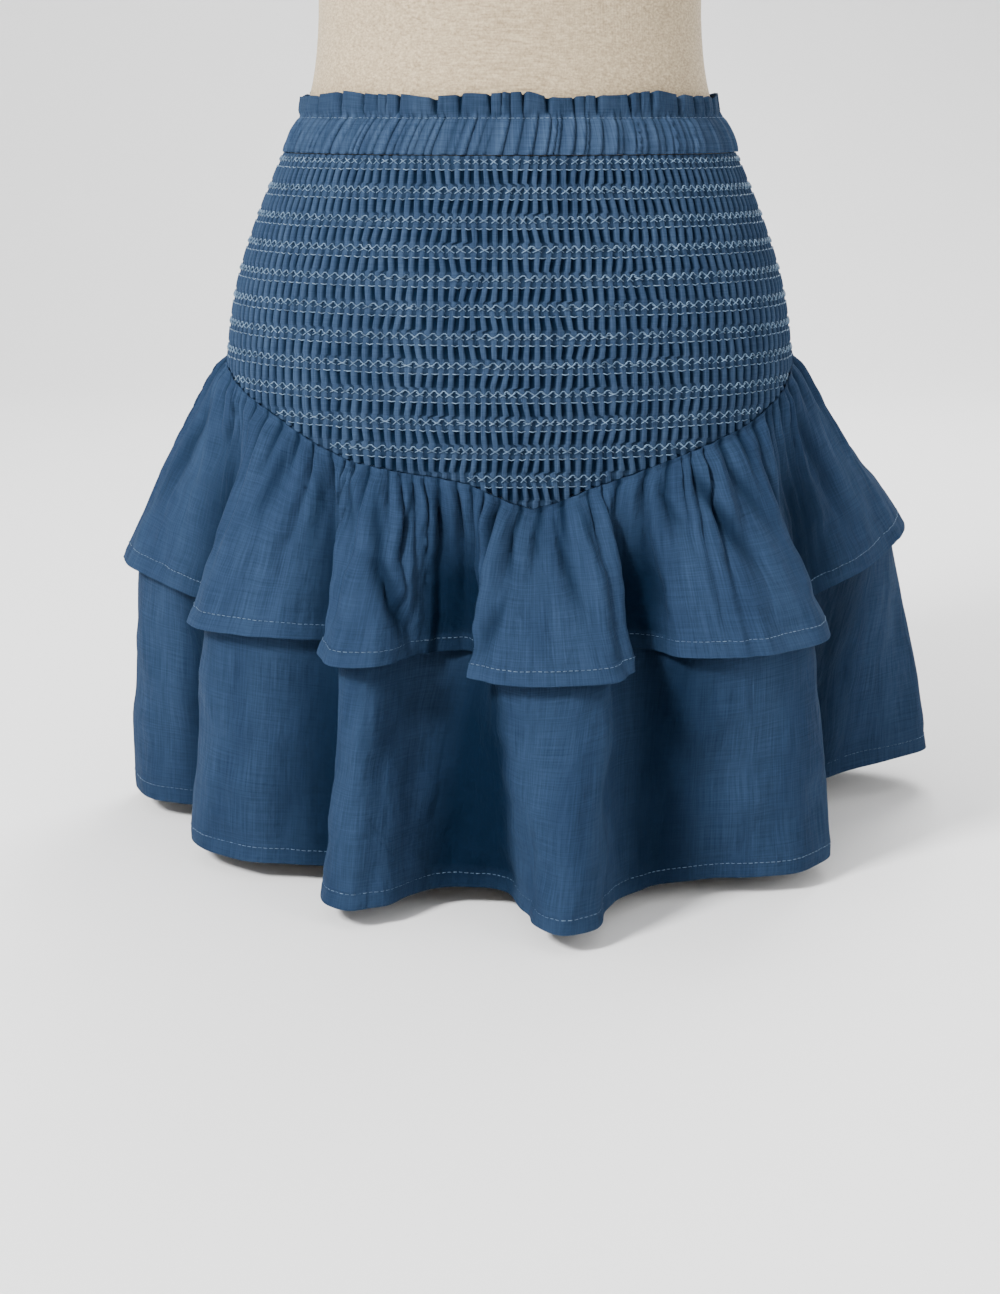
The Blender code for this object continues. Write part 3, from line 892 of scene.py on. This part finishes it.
def hem_fold(from_hem, fraction, waves):
    """The turned hem stands a little proud and puckers between its stitches."""
    inside = np.clip((HEM_FOLD - from_hem) / 0.0012, 0.0, 1.0)
    turns = 2 * np.pi * waves * fraction
    pucker = np.sin(turns) * np.sin(0.37 * turns + 1.0)
    near = np.exp(-((from_hem - HEM_FOLD) / 0.004) ** 2)
    return 0.0005 * inside + 0.0004 * pucker * near


def seam_ring(fraction, step):
    """Where a tier leaves the yoke's edge, a step out from the form."""
    azimuth = girth_azimuth(fraction)
    top = yoke_edge(fraction) - SEAM_GAP
    return place(azimuth, form_radius(azimuth, top) + FORM_GAP + step, 0 * top), top


def upper_line(fraction, fall):
    """The upper tier's folds in plan, at a share of its fall."""
    seam, _ = seam_ring(fraction, TIER_STEP)
    ring = upper_hem.ring(fraction)
    swing = upper_hem.at(fraction) * (1.0, 1.0, 0.0) - ring
    fall = np.broadcast_to(fall, np.broadcast(fall, fraction).shape)[..., None]
    return seam + (ring - seam) * fall ** FLARE_POWER + swing * fall ** FOLD_POWER


def outward(line, fraction, fall):
    """Unit vector out of the cloth in plan, square to a line of folds."""
    step = 0.0006
    along = line(fraction + step, fall) - line(fraction - step, fall)
    return unit(np.stack([along[..., 1], -along[..., 0], 0 * along[..., 0]], axis=-1))


def upper_dents(fraction, fall):
    """Soft dents in the upper tier, which fade out at the gathers and at the hem."""
    dents = dented(fraction, fall, UPPER_DENTS)
    return dents * ease(fall * 2.5) * ease((1.0 - fall) * 8)


def upper_ruffle(fraction, share):
    """The upper tier's cloth at a share of its height, from the seam to the hem."""
    _, top = seam_ring(fraction, 0.0)
    hem = upper_hem.at(fraction)[..., 2]
    height = top + (hem - top) * share
    fall = np.clip((top - COLLAR - height) / (top - COLLAR - hem), 0.0, 1.0)
    stand = GATHER_STAND * gathers(fraction, top - height)
    stand = stand - creases(fraction, fall) * np.clip(fall * 6, 0.0, 1.0)
    stand = stand + upper_dents(fraction, fall)
    stand = stand + hem_fold(height - hem, fraction, UPPER_PUCKERS)
    points = upper_line(fraction, fall) + outward(upper_line, fraction, fall) * stand[..., None]
    points[..., 2] = height
    return points


def ruffle_painted_shade(fraction, share, hem_line, trough_shade, ground_shade):
    """Painted shade from 0 to 1: between the gathers, in the folds' hollows and in creases."""
    _, top = seam_ring(fraction, 0.0)
    drop = (top - hem_line.at(fraction)[..., 2]) * share
    ridge = gathers(fraction, np.maximum(drop, 0.009))
    # Painted shade between the gathers near the seam
    between = 0.88 * ease(1.0 - 4.0 * ridge) * np.exp(-(drop / 0.021) ** 2)
    swing = np.linalg.norm(hem_line.at(fraction)[..., :2], axis=-1)
    swing = swing - np.linalg.norm(hem_line.ring(fraction)[..., :2], axis=-1)
    # Painted shade where a fold swings in behind the ring, and in creases
    between = np.maximum(between, 0.95 * ease(-swing / 0.027) * ease(share * 1.6))
    shade = np.maximum(between, trough_shade * ease(creases(fraction, share) / 0.006))
    from_hem = (top - hem_line.at(fraction)[..., 2]) * (1.0 - share)
    # Less painted shade along the turned hem
    shade = shade * (1.0 - 0.25 * ease((HEM_FOLD + 0.003 - from_hem) / 0.003))
    # All over a ground of painted shade for the whole tier
    return ground_shade + (1.0 - ground_shade) * shade


def ruffle_piece(name, point, hem_line, columns, rows, start, flat, node, shades):
    """One side's cloth of a tier, from its side seam round to the other."""
    step = (0.5 - 2 * half_gap) / columns
    fraction = (start + half_gap + np.arange(-1, columns + 2) * step)[None, :]
    share = (np.linspace(0.0, 1.0, rows + 1) ** 1.1)[:, None]
    inner = point(fraction, share)
    outer = thicken(inner, RUFFLE_CLOTH)[:, 1:-1]
    inner, fraction = inner[:, 1:-1], fraction[:, 1:-1]
    outer[..., 2] = np.minimum(outer[..., 2], inner[:1, :, 2])
    piece = shell_mesh(name, outer, inner, flat_grid(fraction, share, flat[0] * 2, flat[1]),
                       blue_cotton, ruffle_painted_shade(fraction, share, hem_line, *shades))
    clean_shell(piece, edge_angle=CUT_ANGLE)
    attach(piece, "root")
    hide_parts(node)


for side, start in HALVES:
    # The upper tier's creases get painted shade, with no ground shade
    ruffle_piece(f"upper_tier_{side}", upper_ruffle, upper_hem, UPPER_COLUMNS, UPPER_ROWS, start,
                 UPPER_FLAT, f"upper_ruffle_{side}", (0.75, 0.0))

# Lower ruffle
# A longer strip of the same cotton for each side, sewn into the same seam under the upper ruffle.
# It follows the folds above it and then hangs in its own, to a narrow stitched hem.
# The hem's line, as in the table of the upper ruffle
LOWER_HEM = np.array((
    (-180, 0.255, 0.012),
    (-173, 0.249, 0.012),
    (-168, 0.224, 0.012),
    (-163, 0.198, 0.012),
    (-156, 0.188, 0.012),
    (-150.5, 0.204, 0.012),
    (-148, 0.235, 0.012),
    (-142, 0.252, 0.012),
    (-134, 0.248, 0.012),
    (-129, 0.226, 0.013),
    (-122, 0.208, 0.013),
    (-114, 0.212, 0.013),
    (-108, 0.236, 0.013),
    (-99, 0.247, 0.013),
    (-90, 0.243, 0.012),
    (-84.5, 0.234, 0.012),
    (-81, 0.214, 0.012),
    (-78, 0.192, 0.012),
    (-72.5, 0.183, 0.012),
    (-68, 0.198, 0.012),
    (-63.5, 0.219, 0.012),
    (-56.5, 0.223, 0.012),
    (-48.5, 0.214, 0.012),
    (-40, 0.198, 0.012),
    (-33.5, 0.189, 0.012),
    (-29.7, 0.200, 0.012),
    (-28.4, 0.227, 0.012),
    (-25, 0.244, 0.012),
    (-21.3, 0.248, 0.012),
    (-18, 0.236, 0.012),
    (-16.2, 0.215, 0.012),
    (-12.8, 0.198, 0.012),
    (-6, 0.190, 0.012),
    (-0.6, 0.199, 0.012),
    (1.5, 0.225, 0.012),
    (3.2, 0.254, 0.012),
    (6, 0.270, 0.012),
    (9.5, 0.265, 0.012),
    (12.5, 0.245, 0.012),
    (15.8, 0.220, 0.012),
    (22.3, 0.205, 0.012),
    (31.4, 0.211, 0.012),
    (40, 0.226, 0.012),
    (48.4, 0.236, 0.012),
    (55, 0.235, 0.012),
    (59.5, 0.218, 0.013),
    (64.2, 0.195, 0.014),
    (71.4, 0.182, 0.015),
    (79.4, 0.186, 0.017),
    (85.6, 0.202, 0.020),
    (90, 0.223, 0.022),
    (95, 0.258, 0.025),
    (99.5, 0.288, 0.026),
    (105, 0.286, 0.025),
    (110, 0.260, 0.021),
    (115, 0.228, 0.019),
    (122, 0.208, 0.018),
    (129, 0.212, 0.016),
    (134, 0.236, 0.014),
    (141, 0.249, 0.013),
    (149, 0.248, 0.013),
    (155, 0.228, 0.012),
    (158.5, 0.202, 0.012),
    (164, 0.188, 0.012),
    (169, 0.199, 0.012),
    (171.5, 0.229, 0.012),
    (175.5, 0.250, 0.012),
    (180, 0.255, 0.012),
))
NEST_AT_HEM = 0.0085
EASE_STEPS = (-0.008, -0.004, 0.0, 0.004, 0.008)
LOWER_COLUMNS = 400
LOWER_ROWS = 52
LOWER_FLAT = (0.96, 0.285)
LOWER_PUCKERS = 170
LOWER_DENTS = (
    (0.0026, 50, 4, 53, 0.004),
    (0.0011, 130, 9, 54, -0.006),
)
# Softer folds between the large ones: azimuth, width in degrees, and stand
SOFT_FOLDS = (
    (-92, 4.0, 0.0030),
    (-74, 3.0, 0.0030),
    (-55, 3.0, 0.0030),
    (-43, 2.5, -0.0025),
    (-25, 2.0, -0.0025),
    (-8, 2.5, 0.0025),
    (8, 2.0, -0.0025),
    (27, 2.5, -0.0030),
    (36, 3.0, 0.0030),
    (47, 3.0, -0.0030),
    (56, 3.0, 0.0035),
    (73, 4.0, 0.0030),
    (90, 4.0, -0.0035),
    (112, 4.0, 0.0035),
    (135, 3.5, -0.0030),
    (155, 2.5, 0.0030),
    (174, 3.0, -0.0035),
    (-166, 3.0, 0.0030),
    (-146, 3.5, -0.0030),
    (-128, 3.0, 0.0035),
    (-110, 4.0, 0.0030),
)
lower_hem = HemLine(LOWER_HEM)


def nested_line(fraction, fall):
    """The upper tier's line drawn in by the room between the tiers, with its corners eased."""
    fall = np.broadcast_to(fall, np.broadcast(fall, fraction).shape)
    eased = sum(upper_line(fraction + step, fall) for step in EASE_STEPS) / len(EASE_STEPS)
    room = TIER_STEP + (NEST_AT_HEM - TIER_STEP) * fall
    return eased - outward(upper_line, fraction, fall) * room[..., None]


def lower_line(fraction, depth):
    """The lower tier's folds in plan, from the seam at 0 by the upper hem at 1 to its hem at 2."""
    free = np.clip(depth - 1.0, 0.0, 1.0)[..., None]
    line = nested_line(fraction, np.clip(depth, 0.0, 1.0))
    return line + (lower_hem.at(fraction) * (1.0, 1.0, 0.0) - line) * free * (1.4 - 0.4 * free)


def lower_ruffle(fraction, share):
    """The lower tier's cloth at a share of its height, from the seam to the hem."""
    _, top = seam_ring(fraction, 0.0)
    hem = lower_hem.at(fraction)[..., 2]
    upper = upper_hem.at(fraction)[..., 2]
    height = top + (hem - top) * share
    covered = np.clip((top - COLLAR - height) / (top - COLLAR - upper), 0.0, 1.0)
    free = np.clip((upper - height) / (upper - hem), 0.0, 1.0)
    azimuth = girth_azimuth(fraction)
    stand = hem_fold(height - hem, fraction, LOWER_PUCKERS)
    stand = stand - creases(fraction, covered) * np.clip(covered * 6, 0.0, 1.0)
    stand = stand + upper_dents(fraction, covered)
    dents = dented(fraction, free, LOWER_DENTS)
    stand = stand + dents * ease(free * 4) * ease((1.0 - free) * 10)
    for centre, width, lift in SOFT_FOLDS:
        away = (azimuth - np.radians(centre) + np.pi) % (2 * np.pi) - np.pi
        stand = stand + lift * np.exp(-(away / np.radians(width)) ** 2) * free ** 0.7
    points = lower_line(fraction, covered + free)
    points = points + outward(lower_line, fraction, covered + free) * stand[..., None]
    points[..., 2] = height
    return points


for side, start in HALVES:
    # The lower tier gets a ground of painted shade all over, for the shadow of the upper tier
    ruffle_piece(f"lower_tier_{side}", lower_ruffle, lower_hem, LOWER_COLUMNS, LOWER_ROWS, start,
                 LOWER_FLAT, f"lower_ruffle_{side}", (0.0, 0.14))

# Hem and waist stitching
# A line of pale machine stitches holds each turned hem, and one more divides frill from casing.
STITCH_PITCH = 0.0034
STITCH_LENGTH = 0.0021
STITCH_LIFT = 0.0002
STITCH_RADIUS = 0.00024
HEM_THREAD_LIGHT = (0.12, 0.195, 0.285, 1.0)
HEM_THREAD_DARK = (0.05, 0.09, 0.15, 1.0)
hem_thread = thread_material("hem_thread", HEM_THREAD_LIGHT, HEM_THREAD_DARK)


def stitch_line(line, normal, lift):
    """Short stitches at an even pitch along a line of points, lying on its outer face."""
    steps = np.linalg.norm(np.diff(line, axis=0), axis=1)
    run = np.concatenate([[0.0], np.cumsum(steps)])
    starts = np.arange(STITCH_PITCH / 2, run[-1] - STITCH_PITCH, STITCH_PITCH)
    at = starts[:, None] + np.linspace(0.0, STITCH_LENGTH, 3)[None, :]
    raised = line + normal * lift
    return np.stack([np.interp(at, run, raised[:, axis]) for axis in range(3)], axis=-1)


def hem_stitches(name, point, length, start):
    """Stitches along the top of one side's hem, on a tier of about this length."""
    fraction = np.linspace(start + 2 * half_gap, start + 0.5 - 2 * half_gap, 1500)[None, :]
    share = np.array([1.0 - (HEM_FOLD + 0.001) / length, 1.0 - HEM_FOLD / length])[:, None]
    rows = point(fraction, share)
    down = rows[1] - rows[0]
    across = np.gradient(rows[0], axis=0)
    normal = unit(np.cross(down, across))
    path = stitch_line(rows[0], normal, RUFFLE_CLOTH + STITCH_LIFT)
    piece = thread_mesh([path], STITCH_RADIUS, name, hem_thread)
    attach(piece, "root")


for side, start in HALVES:
    hem_stitches(f"upper_hem_stitches_{side}", upper_ruffle, 0.12, start)
    hem_stitches(f"lower_hem_stitches_{side}", lower_ruffle, 0.25, start)
stitch_row = round(WAIST_ROWS * (TOP_HEIGHT - STITCH_HEIGHT) / (TOP_HEIGHT - YOKE_TOP))
ring = waist_outer[stitch_row]
path = stitch_line(ring, unit(ring * (1.0, 1.0, 0.0)), STITCH_LIFT)
waist_stitches = thread_mesh([path], STITCH_RADIUS, "waist_stitches", hem_thread)
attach(waist_stitches, "root")

# Room
# A seamless pale sweep of paper and soft light from large boxes, as in a plain studio.
CAMERA_DISTANCE = 1.40
CAMERA_HEIGHT = 0.452
CAMERA_ASIDE = -0.006
CAMERA_PITCH = 13.8
FOCAL_PIXELS = 2205
PHOTO_HEIGHT = 1294
SENSOR = 36.0
PAPER_SIZE = 8.0
PAPER_BACK = 3.9
PAPER_RISE = 4.0
PAPER_CURVE = 1.2
PAPER_GREY = (0.93, 0.93, 0.93, 1.0)
SKY = (0.80, 0.90, 1.0, 1.0)
SKY_STRENGTH = 0.10
bpy.ops.object.select_all(action="DESELECT")
bpy.ops.mesh.primitive_plane_add(size=PAPER_SIZE, location=(0.0, -0.6, 0.0))
floor = bpy.context.object
floor.name = "paper_sweep"
bpy.ops.object.mode_set(mode="EDIT")
bm = bmesh.from_edit_mesh(floor.data)
for edge in bm.edges:
    edge.select_set(all(v.co.y > PAPER_BACK for v in edge.verts))
bmesh.update_edit_mesh(floor.data)
bpy.ops.mesh.extrude_region_move(TRANSFORM_OT_translate={"value": (0.0, 0.0, PAPER_RISE)})
bpy.ops.object.mode_set(mode="OBJECT")
bpy.ops.object.transform_apply(location=True, rotation=True, scale=True)
curve = floor.modifiers.new("curve", "BEVEL")
curve.width = PAPER_CURVE
curve.segments = 12
bpy.ops.object.modifier_apply(modifier=curve.name)
bpy.ops.object.shade_smooth()
paper, _, _ = new_material("paper", Base_Color=PAPER_GREY, Roughness=0.9)
floor.data.materials.append(paper)

world = bpy.data.worlds.new("studio")
world.use_nodes = True
background = world.node_tree.nodes["Background"]
background.inputs["Color"].default_value = SKY
background.inputs["Strength"].default_value = SKY_STRENGTH
bpy.context.scene.world = world
# Columns: name, place, aim height, side of the square box, power in watts
LIGHTS = (
    ("key", (-1.5, -1.55, 1.75), 0.25, 0.5, 130.0),
    ("fill", (1.7, -1.6, 1.2), 0.25, 1.0, 15.0),
    ("back", (0.6, 1.9, 2.2), 0.10, 1.2, 80.0),
)
for name, location, aim, side_length, power in LIGHTS:
    light = bpy.data.lights.new(name, "AREA")
    light.size = side_length
    light.energy = power
    lamp = bpy.data.objects.new(name, light)
    lamp.location = location
    toward = np.array((0.0, 0.0, aim)) - np.array(location)
    heading = math.atan2(toward[1], toward[0]) - math.pi / 2
    tilt = math.atan2(toward[2], math.hypot(toward[0], toward[1])) + math.pi / 2
    lamp.rotation_euler = (tilt, 0.0, heading)
    bpy.context.collection.objects.link(lamp)

lens = bpy.data.cameras.new("photo_camera")
lens.sensor_fit = "AUTO"
lens.sensor_width = SENSOR
lens.lens = SENSOR * FOCAL_PIXELS / PHOTO_HEIGHT
camera = bpy.data.objects.new("photo_camera", lens)
camera.location = (CAMERA_ASIDE, -CAMERA_DISTANCE, CAMERA_HEIGHT)
camera.rotation_euler = (math.radians(90.0 - CAMERA_PITCH), 0.0, 0.0)
bpy.context.collection.objects.link(camera)
bpy.context.scene.camera = camera
